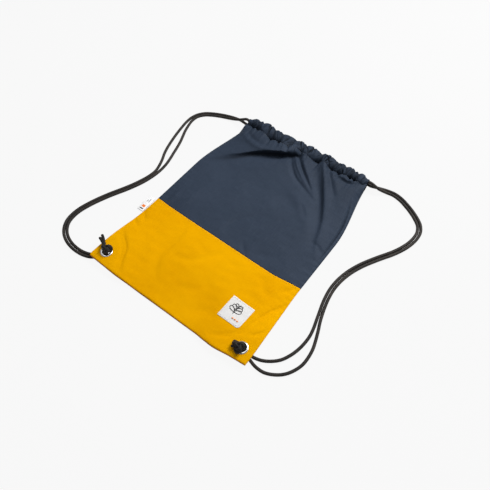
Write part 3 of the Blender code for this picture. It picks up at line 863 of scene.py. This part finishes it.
def settle(piece, node=None, body=None):
    """Hides the CAD node that the piece stands for and attaches the piece to the body that carries it."""
    if node:
        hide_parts(node)
    if body:
        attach(piece, body)


# ---------------------------------------------------------------- panels

# The casings' fabric thickness and the count of wrinkles round them
CASING_THICKNESS = 0.0007
CASING_WRINKLES = 44


def crowded(count):
    """Numbers from -1 to 1 that crowd towards both ends."""
    u = np.linspace(-1, 1, count)
    return u * (1.18 - 0.18 * u * u)


def panel_grid(columns, rows, start, end, surface):
    """A panel's upper face, its flat coordinates, wear and painted shade. start and end are functions of x."""
    u, w = np.meshgrid(crowded(columns), (1 + crowded(rows)) / 2)
    first, last = [edge(u * half_width(edge(0.0))) for edge in (start, end)]
    y = mix(first, last, w)
    x = half_width(y) * u
    return surface(x, y), np.stack([u * WAIST_WIDTH / 2, y], axis=-1), edge_wear(x, y), painted_shade_in_folds(x, y)


def painted_shade_in_folds(x, y):
    """Painted shade from 0 to 1: in the gathers under the casing, over the upper panel near the mouth, under
    the tuck's lip and along the fold line inside the right edge.
    """
    below = stitch_line(x) - y
    tight = 1 - puff(x, FRONT_PUFFS)
    at_seam = bell(below, 0.0022) * (0.12 + 0.85 * tight)
    pits = fade(np.maximum(0, below), 0.006) * 0.75 * tight ** 1.5
    near_mouth = 0.2 * smooth((y - 0.125) / 0.055)
    gathers = np.clip(np.maximum(at_seam, pits), near_mouth, 1) * mix(0.5, 1.0, end_share(x))
    across, along = across_and_along(x, y, curve_through(metres(*EDGE_FOLD), 25))
    inner_line = 0.75 * bell(across, 0.0009) * np.sin(math.pi * along) ** 0.7
    across, along = across_and_along(x, y, curve_through(metres(*TUCK_HOLLOW), 25))
    hollow = 0.8 * bell(across - 0.003, 0.0052)
    hollow = hollow * smooth((along - 0.02) / 0.45) * smooth((1 - along) / 0.1)
    return np.maximum(gathers, np.maximum(inner_line, hollow))


def edge_wear(x, y):
    """Wear from 0 to 1: along the outline and the cross seam."""
    side = fade(half_width(y) - np.abs(x), 0.0015)
    bottom = fade(y - bottom_line(x), 0.0015)
    rim = fade(np.abs(y - seam_line(x)), 0.001) * 0.4
    return np.clip(side + bottom + rim, 0, 1)


def make_panels():
    gap = TOUCH_GAP / 2
    above_seam, below_seam = lambda x: seam_line(x) + gap, lambda x: seam_line(x) - gap
    upper = ("front_upper", front_surface, 281, 281), ("back_upper", back_surface, 121, 101)
    for name, surface, columns, rows in upper:
        points, *maps = panel_grid(columns, rows, above_seam, stitch_line, surface)
        for side, piece in halves(name, points, PANEL_THICKNESS, navy, *maps):
            draw_in(piece)
            settle(piece, f"{name}_panel")
    lower = ("front_lower", front_surface, 241, 151), ("back_lower", back_surface, 121, 71)
    for name, surface, columns, rows in lower:
        points, flat, wear_and_highlight, _ = panel_grid(columns, rows, bottom_line, below_seam, surface)
        piece = sheet_object(name, points, PANEL_THICKNESS, mustard, flat, wear_and_highlight, holes=HOLE_RADIUS + HOLE_PLAY)
        settle(piece, f"{name}_panel", "bag")


def wrinkles(x, phi, seed):
    """Sharp creases that run round a gathered casing: about 1 deep in a crease and 0 between them."""
    rng = np.random.RandomState(seed)
    depth = np.zeros(x.shape)
    for place in np.linspace(-CASING_OUTLET_X + 0.006, CASING_OUTLET_X - 0.006, CASING_WRINKLES):
        middle = place + rng.uniform(-0.004, 0.004)
        spans = (-0.011, 0.011), (-0.003, 0.003), (0.0008, 0.0019), (0.2, 2.4), (0.9, 2.0)
        slant, bow, width, start, reach = [rng.uniform(*span) for span in spans]
        line = middle + slant * np.cos(phi) + bow * np.sin(2 * phi)
        length = smooth((reach - np.abs(phi - start)) / 0.6)
        depth = np.maximum(depth, rng.uniform(0.5, 1.0) * length * bell(x - line, width))
    return depth


def casing_grid(puffs, height, half_height, seam_z, floor_z, seed):
    """A gathered casing: columns along X, rows from the seam over the top, round the rim and back below."""
    columns = np.linspace(-CASING_OUTLET_X, CASING_OUTLET_X, 501)
    x, phi = np.meshgrid(columns, np.linspace(math.pi, -math.pi, 65))
    turn = np.cos(phi)
    # the pinches slant a little, more on top than underneath
    slanted = np.clip(x + 0.0052 * turn * np.sin(x * 57 + seed), -CASING_OUTLET_X, CASING_OUTLET_X)
    full = puff(slanted, puffs)
    ends = end_share(x)
    seam_y = stitch_line(x)
    rim_y = mix(lane(x) + 0.0046, RIM_NOTCH_Y + RIM_PUFF * full, ends)
    out = (1 + turn) / 2
    swell = mix(0.004, mix(PINCHED, half_height, full), ends)
    fold = wrinkles(x, phi, seed) * ends * full
    ruffle = (0.0006 * ripple(x, 0.02 * phi, 0.0085, seed, (1.0, 4.0)) * full - 0.004 * fold) * ends
    y = mix(seam_y, rim_y, out) + 0.9 * ruffle * np.maximum(turn, 0)
    y = y - 0.0016 * full * np.sin(phi) ** 2 * (1 - out)
    arch = np.abs(np.sin(phi)) ** mix(0.8, 1.25, full) * np.sign(np.sin(phi))
    rise = arch * (0.5 + 0.5 * out ** 0.5) * (swell + ruffle)
    share = 1 - (1 - out) ** 5
    z = mix(seam_z(x, seam_y), height(x), share) + rise
    if floor_z is not None:
        z = np.maximum(z, floor_z)
    flat = np.stack([x / CASING_OUTLET_X * WAIST_WIDTH / 2, phi * 0.0105], axis=-1)
    # wear: rubbed along the casing's rim, and a painted highlight over the top half of each puff
    wear_and_highlight = np.clip(fade(1 - out, 0.06) * full + 0.35 * full * (phi > 0), 0, 1)
    # painted shade over the whole casing, deeper in its wrinkles, at its pinches and along its seam
    painted_casing_shade = 1.4 * fold + 0.28 + 0.24 * ripple(x, 0.01 * phi, 0.011, seed + 1)
    pinched = np.maximum(0, 1 - 1.15 * full) ** 1.2 * (1 - 0.25 * out)
    at_seam = (0.25 + 0.7 * (1 - full)) * bell(out, 0.1)
    painted_shade = np.maximum(np.maximum(painted_casing_shade, pinched), at_seam) * mix(0.4, 1.0, ends)
    return np.stack([x, y, z], axis=-1), flat, wear_and_highlight, np.clip(painted_shade, 0, 1)


def front_casing_height(x):
    """Height of the front casing's middle: it comes down at both ends, further at the right one."""
    end = np.where(np.asarray(x) < 0, LEFT_EXIT_Z, RIGHT_EXIT_Z)
    return mix(end, FRONT_CASING_Z, smooth((CASING_OUTLET_X - np.abs(x)) / EXIT_SLOPE))


def back_casing_height(x):
    """Height of the back casing's middle: it rises at the right end, where the two cords leave together."""
    end = np.where(np.asarray(x) < 0, BACK_CASING_Z, BACK_EXIT_Z)
    return mix(end, BACK_CASING_Z, smooth((CASING_OUTLET_X - np.abs(x)) / 0.02))


def make_casings():
    settings = (
        ("front", FRONT_PUFFS, front_casing_height, 0.0082, lambda x, y: front_top(x, y) - 0.0006, None, 31),
        ("back", BACK_PUFFS, back_casing_height, 0.0062, lambda x, y: 0.0012 + 0 * x, 0.0002, 47),
    )
    for name, *shape in settings:
        points, *maps = casing_grid(*shape)
        for side, piece in halves(f"{name}_casing_fabric", points, CASING_THICKNESS, navy, *maps):
            draw_in(piece)
            settle(piece, f"{name}_casing")


# ---------------------------------------------------------------- cords

STRAND_RADIUS = 0.00292
SQUEEZED = 0.68
KNOT_CENTRE_Z = KNOT_Z + 0.0048
KNOT_STRAND = 0.0027
TUBE_SIDES = 16


def length_of(path):
    return float(sum(math.dist(a, b) for a, b in zip(path, path[1:])))


def strand_route(pair, side, lane_y, exit_z, turn):
    """One strand of a pair: out of its casing, beside its twin along the pair's line, up into the eyelet.

    side is -1 for the left corner and 1 for the right, and turn is 1 or -1 for the strand's side of the line.
    """
    middle = [Vector((x, y)) for x, y, _ in pair]
    eyelet = Vector((side * EYELET_X, EYELET_Y))
    outward = (middle[-1] - eyelet).normalized()
    ahead = [*middle[1:], eyelet]
    behind = [Vector((side * CASING_OUTLET_X, lane_y)), *middle[:-1]]
    sideways = [(b - a).normalized().orthogonal() for a, b in zip(behind, ahead)]
    offsets = [PAIR_PITCH / 2 + apart for _, _, apart in pair]
    flat = [m + n * turn * d for m, n, d in zip(middle, sideways, offsets)]
    start, clear = [Vector((side * (CASING_OUTLET_X + away), lane_y, exit_z)) for away in (TOUCH_GAP, 0.008)]
    lying = []
    for q in flat:
        landed = float(smooth((q - clear.xy).length / DROP_LENGTH))
        lying.append((q.x, q.y, mix(exit_z, CORD_REST_HEIGHT, landed)))
    across = (-outward).orthogonal() * turn * PAIR_PITCH / 2
    foot = eyelet + across
    bend = []
    for k in range(5):
        a = math.pi / 2 * k / 4
        q = foot + outward * ELBOW_RADIUS * (1 - math.sin(a))
        bend.append((q.x, q.y, CORD_REST_HEIGHT + ELBOW_RADIUS * (1 - math.cos(a))))
    bend.append((foot.x, foot.y, KNOT_LEG_BOTTOM - TOUCH_GAP))
    free = [tuple(clear), *lying]
    return [tuple(start), *curve_through(free, round(length_of(free) / 0.0165) + 1), *bend]


def hairpin_route(side, lane_y):
    """Through the front casing from the cord's own end, round the far end and back through the back one."""
    along = np.linspace(CASING_OUTLET_X, -HAIRPIN_TURN_X, 36)
    front = [(side * x, lane_y, float(front_casing_height(side * x))) for x in along]
    back = [(side * x, lane_y, float(back_casing_height(side * x))) for x in along[::-1]]
    middle_z, radius = (front[-1][2] + back[0][2]) / 2, (front[-1][2] - back[0][2]) / 2
    bend = []
    for k in range(1, 8):
        a = math.pi * k / 8
        x = -side * (HAIRPIN_TURN_X + radius * math.sin(a))
        bend.append((x, lane_y, middle_z + radius * math.cos(a)))
    return [*front, *bend, *back]


def braided(name, route, radius=STRAND_RADIUS):
    """A braided cord along the route: (object, the path that it follows)."""
    path = curve_through(route, round(length_of(route) / 0.0008))
    return tube_object(name, path, radius, TUBE_SIDES, [cord_braid, cord_end], 0.00014, capped=False), path


def knot_paths(side, arrival, lump, tips, turned, size):
    """The two strands of a doubled overhand knot: up out of the eyelet, round the knot, out as a cut end."""
    across = (-arrival).orthogonal() * PAIR_PITCH / 2
    eyelet = np.array([side * EYELET_X, EYELET_Y, 0.0])
    paths = []
    for k, (turn, radius, rise) in enumerate(((1, 0.0086, -0.001), (-1, 0.0056, 0.0018))):
        leg = np.array([across.x * turn, across.y * turn, 0.0])
        points = [leg + (0, 0, KNOT_LEG_BOTTOM), leg + (0, 0, KNOT_Z + 0.001)]
        for step in range(15):
            t = 0.25 + (2 * math.pi - 0.95) * step / 14
            a, b = (math.sin(t) + 2 * math.sin(2 * t)) / 3, (math.cos(t) - 2 * math.cos(2 * t)) / 3
            x = size * radius * (a * math.cos(turned) - b * math.sin(turned)) * 1.12
            y = size * radius * (a * math.sin(turned) + b * math.cos(turned)) * 0.92
            z = KNOT_CENTRE_Z + rise - 0.0026 * math.sin(3 * t)
            points.append(np.array([x + lump[0], y + lump[1], z]))
        tip = np.array(tips[k])
        over = (-arrival.y, arrival.x) if k else (arrival.x, arrival.y)
        crest = [middle + 0.0028 * step for middle, step in zip(lump, over)]
        points.append(np.array([*crest, KNOT_CENTRE_Z + 0.003]))
        points.append(mix(np.array([*lump, KNOT_CENTRE_Z]), tip, 0.62) + (0, 0, 0.0008))
        points.append(tip)
        paths.append([tuple(p + eyelet) for p in points])
    return paths


def make_cords():
    tip_z = KNOT_Z + CORD_DIAMETER / 2 + 0.0005
    left_tips = (-0.03, 0.02, tip_z), (-0.029, 0.013, tip_z)
    right_tips = (-0.0165, 0.001, tip_z), (-0.014, -0.009, tip_z)
    settings = (
        ("left", -1, LEFT_PAIR, LEFT_LANE_Y, (-0.0005, 0.0025), left_tips, 0.5, 1.0),
        ("right", 1, RIGHT_PAIR, RIGHT_LANE_Y, (-0.003, -0.0028), right_tips, 2.4, 1.2),
    )
    lengths = {}
    for name, side, pair, lane_y, lump, tips, turned, size in settings:
        run, _ = braided(f"{name}_cord_run", hairpin_route(side, lane_y), CORD_DIAMETER * SQUEEZED / 2)
        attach(run, f"{name}_drawcord")
        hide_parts(f"{name}_cord_in_casing")
        arrival = Vector(pair[-1][:2]) - Vector((side * EYELET_X, EYELET_Y))
        for k, path in enumerate(knot_paths(side, arrival.normalized(), lump, tips, turned, size)):
            points = curve_through(path, round(length_of(path) / 0.0009))
            looks = [knot_braid, cord_end]
            part = tube_object(f"{name}_knot_strand_{k + 1}", points, KNOT_STRAND, TUBE_SIDES, looks, 0.00028)
            settle(part, f"{name}_knot", f"{name}_knot")
        outlet = side * CASING_OUTLET_X
        for which, height, turn in (("front", front_casing_height, -1), ("back", back_casing_height, 1)):
            route = strand_route(pair, side, lane_y, float(height(outlet)), turn * side)
            strand, path = braided(f"{name}_{which}_cord", route)
            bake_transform(strand)
            settle(strand, f"{name}_{which}_strand")
            lengths[f"{name}_{which}"] = length_of(path)
    print("cord lengths", lengths)


# ---------------------------------------------------------------- patch, label, tapes and stitching

PATCH_TURN = math.radians(-1.8)
PATCH_THICKNESS = 0.0007
PATCH_LIFT = 0.0009
HEM_INSET = 0.0024
MOTIF_RADIUS = 0.00072
DASH_RADIUS = 0.0015
MOTIF_SHIFT = (-0.12, 0.06)
LABEL_BEND = 0.0006
TAPE_WIDTH = 0.008
TAPE_INSET = 0.0014


def on_patch(u, v, lift):
    """A point on the patch, u and v from -1 to 1 across its face."""
    half = PATCH_SIZE / 2
    x = PATCH_CENTRE[0] + half * (u * math.cos(PATCH_TURN) - v * math.sin(PATCH_TURN))
    y = PATCH_CENTRE[1] + half * (u * math.sin(PATCH_TURN) + v * math.cos(PATCH_TURN))
    return np.stack([x, y, front_top(x, y) + PATCH_LIFT + lift], axis=-1)


def make_patch():
    u, v = np.meshgrid(np.linspace(-1, 1, 61), np.linspace(-1, 1, 61))
    # the bottom right corner is cut round: points beyond its arc are drawn in towards the patch
    cut = 2 * PATCH_CUT / PATCH_SIZE
    past_u, past_v = u - (1 - cut), -v - (1 - cut)
    beyond_u, beyond_v = np.maximum(past_u, 0), np.maximum(past_v, 0)
    shrink = np.maximum(beyond_u, beyond_v) / np.maximum(np.hypot(beyond_u, beyond_v), 1e-9)
    shrink = np.where((past_u > 0) & (past_v > 0), shrink, 1.0)
    drawn_u = np.where(shrink < 1, 1 - cut + past_u * shrink, u)
    drawn_v = np.where(shrink < 1, -(1 - cut) - past_v * shrink, v)
    inwards = 1 - np.maximum(np.abs(u), np.abs(v))
    edge = np.clip(inwards / 0.05, 0, 1)
    points = on_patch(drawn_u, drawn_v, -0.00035 * (1 - np.sqrt(1 - (1 - edge) ** 2)))
    points[..., 2] -= 0.00012 * bell(inwards / 0.03 - 2.6, 1)
    flat = np.stack([u, v], axis=-1) * PATCH_SIZE / 2
    patch = sheet_object("patch", points, PATCH_THICKNESS, patch_weave, flat, 1 - edge)
    inset = 1 - HEM_INSET / (PATCH_SIZE / 2)
    corner = [(inset - cut * (1 - math.cos(a)) * 0.9, -inset + cut * (1 - math.sin(a)) * 0.9)
              for a in np.linspace(0, math.pi / 2, 7)]
    outline = [(inset, inset), *corner, (-inset, -inset), (-inset, inset), (inset, inset)]
    track = np.concatenate([np.linspace(a, b, 24, endpoint=False) for a, b in zip(outline, outline[1:])])
    hem = on_patch(track[:, 0], track[:, 1], 0.00004)
    rows = [stitch_object("patch_stitches", hem, 0.0027, 0.002, 0.00021, white_thread), *make_motif()]
    for piece in (patch, *rows):
        settle(piece, "woven_patch", "bag")


def leaf(foot, reach, lean, sign):
    """A leaf's outline on the patch, from its foot on the stem out to its tip and back."""
    along_x, along_y = sign * math.cos(lean + 0.35), math.sin(lean + 0.35)
    loop = []
    for t in np.linspace(0, 2 * math.pi, 17):
        out = (1 - math.cos(t)) / 2
        wide = 0.3 * math.sin(t) * math.sin(t / 2) ** 0.6
        loop.append((foot[0] + reach * (out * along_x - wide * along_y * sign),
                     foot[1] + reach * (out * along_y + wide * along_x * sign)))
    return loop


def make_motif():
    """A plain sprig in dark thread, three pairs of leaves on a bent stem, over three short orange dashes."""
    lines = [[(0.02, -0.34), (-0.02, -0.02), (0.02, 0.3), (0.1, 0.6)]]
    for pair in (((-0.01, -0.14), 0.56, 0.1), ((0.0, 0.1), 0.48, 0.16), ((0.04, 0.34), 0.34, 0.2)):
        lines += [leaf(*pair, sign) for sign in (-1, 1)]
    lines = [curve_through(line, 40) + MOTIF_SHIFT for line in lines]
    dashes = [np.linspace((u, -0.56), (u + 0.14, -0.56), 8) for u in (0.06, 0.28, 0.5)]
    joined = []
    for name, tracks, radius, thread in (("patch_motif", lines, MOTIF_RADIUS, dark_thread),
                                         ("patch_dashes", dashes, DASH_RADIUS, orange_thread)):
        made = [tube_object(f"{name}_{k}", on_patch(line[:, 0], line[:, 1], 0.00008), radius, 8, [thread])
                for k, line in enumerate(tracks)]
        joined.append(join_meshes(name, made))
    return joined


def make_label():
    """A folded white label in the left seam: two layers, a soft loop at the outer end, woven blocks."""
    x0, y0, z0 = LABEL_HINGE
    t, w = np.meshgrid(np.linspace(0, 1, 49), np.linspace(-0.5, 0.5, 41))
    run = LABEL_REACH - LABEL_BEND
    back = run + math.pi * LABEL_BEND
    length = run + back
    s = t * length
    around = np.clip((s - run) / LABEL_BEND, 0, math.pi)
    outward = np.where(s < run, s, np.where(s > back, length - s, run + LABEL_BEND * np.sin(around)))
    up = np.where(s < run, 1.0, np.where(s > back, -1.0, np.cos(around)))
    share = outward / LABEL_REACH
    bulge = 0.0005 * np.sin(math.pi * share) * up
    droop = -0.0009 * share ** 2 + 0.0006 * np.sin(w * 5 + 0.6) * share
    y, z = y0 + w * LABEL_LENGTH * (1 - 0.02 * share), z0 + LABEL_BEND * up + bulge + droop
    flat = np.stack([s, w * LABEL_LENGTH], axis=-1)
    points = np.stack([x0 - outward, y, z], axis=-1)
    label = sheet_object("folded_label", points, 0.00035, label_weave, flat)
    settle(label, "side_label", "side_label")


def make_tapes():
    """The tapes that bind the seam allowances inside, following the outline, and a painted shade line along
    the bottom edge.
    """
    side_start, side_end = BOTTOM_Y + 0.044, BOTTOM_Y + 0.385
    for side, sign in SIDES:
        u, w = np.meshgrid(np.linspace(0, 1, 5), np.linspace(0, 1, 121))
        y = side_start + w * (side_end - side_start)
        x = sign * (half_width(y) - TAPE_INSET - TAPE_WIDTH * (u if sign < 0 else 1 - u))
        z = back_height(x, y) + FABRIC + 0.0012 + 0.0001 * np.sin(y * 900)
        flat = np.stack([u * TAPE_WIDTH, y], axis=-1)
        piece = sheet_object(f"{side}_seam_tape", np.stack([x, y, z], axis=-1), 0.0006, tape, flat)
        draw_in(piece)
        settle(piece, f"{side}_side_binding")
    x = np.linspace(-1, 1, 161) * (half_width(BOTTOM_Y) - 0.001)
    y = bottom_line(x) - 0.0001
    line = np.stack([x, y, back_height(x, y) + FABRIC + 0.0008], axis=-1)
    # painted shade: a brown line where the back panel's edge lies in shade under the front's rolled edge
    settle(tube_object("bottom_edge_line", line, 0.0009, 8, [painted_edge_shade]), body="bag")


def make_stitching():
    """Rows of stitches: along both casings and across the top of the lower panel."""
    for name, surface in (("front", front_top), ("back", lambda x, y: np.full(x.shape, 0.0022))):
        for side, sign in SIDES:
            x = np.linspace(0.0, sign * (CASING_OUTLET_X - 0.012), 160)
            y = stitch_line(x) - 0.0018
            line = np.stack([x, y, surface(x, y) + 0.00012], axis=-1)
            row = stitch_object(f"{name}_casing_stitches_{side}", line, 0.0034, 0.0025, 0.00022, navy_thread)
            draw_in(row)
            settle(row)
    x = np.linspace(-1, 1, 301) * (half_width(SEAM_Y) - 0.004)
    y = seam_line(x) - 0.003
    line = np.stack([x, y, front_top(x, y) + 0.00008], axis=-1)
    row = stitch_object("cross_seam_stitches", line, 0.0036, 0.0026, 0.00018, mustard_thread)
    settle(row, body="bag")


# ---------------------------------------------------------------- eyelets


def turned_object(name, profile, centre, material):
    """A ring turned about Z from a closed profile of (radius, height) points, listed anticlockwise."""
    profile = np.array(profile)
    segments = 72
    angle = 2 * math.pi * np.arange(segments) / segments
    x, y = [at + profile[:, :1] * turn for at, turn in zip(centre, (np.cos(angle), np.sin(angle)))]
    points = np.stack([x, y, np.repeat(profile[:, 1:], segments, axis=1)], axis=-1)
    index = np.arange(len(profile) * segments).reshape(len(profile), segments)
    after = np.roll(index, -1, axis=1)
    faces = np.stack([index, after, np.roll(after, -1, axis=0), np.roll(index, -1, axis=0)], axis=-1)
    made = new_object(name, points.reshape(-1, 3).tolist(), faces.reshape(-1, 4).tolist(), [material])
    made.data.set_sharp_from_angle(angle=math.radians(50))
    return made


def make_eyelets():
    """The two plated rings: a domed flange on the corner patch and a barrel down through the corner."""
    bottom = CORNER_LIFT - 0.0011
    dome = []
    for a in np.linspace(0, math.pi, 13)[1:-1]:
        across = (1 - math.cos(a)) / 2
        dome.append((mix(FLANGE_RADIUS, BARREL_RADIUS, across), FLANGE_Z + 0.0001 + 0.0011 * math.sin(a)))
    outer = BARREL_RADIUS + 0.0006
    barrel = (BARREL_RADIUS, FLANGE_Z + 0.0003), (BARREL_RADIUS, bottom), (outer, bottom), (outer, FLANGE_Z)
    for side, sign in SIDES:
        profile = [(FLANGE_RADIUS, FLANGE_Z), *dome, *barrel]
        piece = turned_object(f"{side}_eyelet_ring", profile, (sign * EYELET_X, EYELET_Y), plated)
        settle(piece, f"{side}_eyelet", "bag")


# ---------------------------------------------------------------- floor, lights and camera

FLOOR_DIFFUSE = 0.03
FLOOR_GLOW = 0.909
FLOOR_REACH = 30.0
WORLD_STRENGTH = 0.26


def make_floor():
    """A wide pale floor, lit from behind like a light table, so that shadows on it stay faint."""
    made, tree, shader = start_material("floor_paper", 0.9)
    cloud = noise(tree, object_place(tree), 1.5)
    tone = blend_colours(tree, cloud, *[grey(FLOOR_DIFFUSE + step) for step in (-0.004, 0.004)])
    tree.links.new(tone, shader.inputs["Base Color"])
    shader.inputs["Specular IOR Level"].default_value = 0.0
    shader.inputs["Emission Color"].default_value = grey(1.0)
    shader.inputs["Emission Strength"].default_value = FLOOR_GLOW
    corners = [(FLOOR_REACH * x, FLOOR_REACH * y, 0) for x, y in ((-1, -1), (1, -1), (1, 1), (-1, 1))]
    new_object("floor", corners, [(0, 1, 2, 3)], [made])


def stand(name, data, place, facing):
    """Puts a light or the camera in its place, facing in a direction."""
    made = bpy.data.objects.new(name, data)
    made.location = place
    made.rotation_euler = Vector(facing).to_track_quat("-Z", "Y").to_euler()
    bpy.context.scene.collection.objects.link(made)
    return made


def area_light(name, place, size, watts):
    """A round soft light that faces the bag's middle."""
    light = bpy.data.lights.new(name, "AREA")
    light.shape = "DISK"
    light.size = size
    light.energy = watts
    stand(name, light, place, [-value for value in place])


def make_lights():
    world = bpy.data.worlds.new("studio")
    world.use_nodes = True
    background = world.node_tree.nodes["Background"]
    background.inputs["Color"].default_value = grey(1.0)
    background.inputs["Strength"].default_value = WORLD_STRENGTH
    bpy.context.scene.world = world
    area_light("key", (0.36, 1.2, 1.34), 0.9, 38.0)
    area_light("top", (-0.6, 0.3, 2.0), 1.4, 9.0)


CAMERA_PLACE = (0.3608, -0.4703, 0.819)
CAMERA_BACK = (0.3332, -0.4412, 0.8333)
CAMERA_LENS = 39.17


def make_camera():
    camera = bpy.data.cameras.new("camera")
    camera.lens = CAMERA_LENS
    camera.sensor_width = 36.0
    camera.clip_start = 0.01
    bpy.context.scene.camera = stand("camera", camera, CAMERA_PLACE, [-value for value in CAMERA_BACK])


def dress_frame_nodes():
    """Materials for the CAD nodes that stay in view."""
    finishes = (
        (tape, ("bottom_binding",)),
        (mustard, ("left_corner_reinforcement", "right_corner_reinforcement")),
        (plated, ("left_eyelet_washer", "right_eyelet_washer")),
    )
    for finish, nodes in finishes:
        for node in nodes:
            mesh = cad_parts[node].data
            mesh.materials.clear()
            mesh.materials.append(finish)


bpy.context.scene.view_settings.view_transform = "Standard"
make_floor()
make_lights()
make_camera()
make_cords()
make_panels()
make_casings()
make_eyelets()
make_patch()
make_label()
make_tapes()
make_stitching()
dress_frame_nodes()
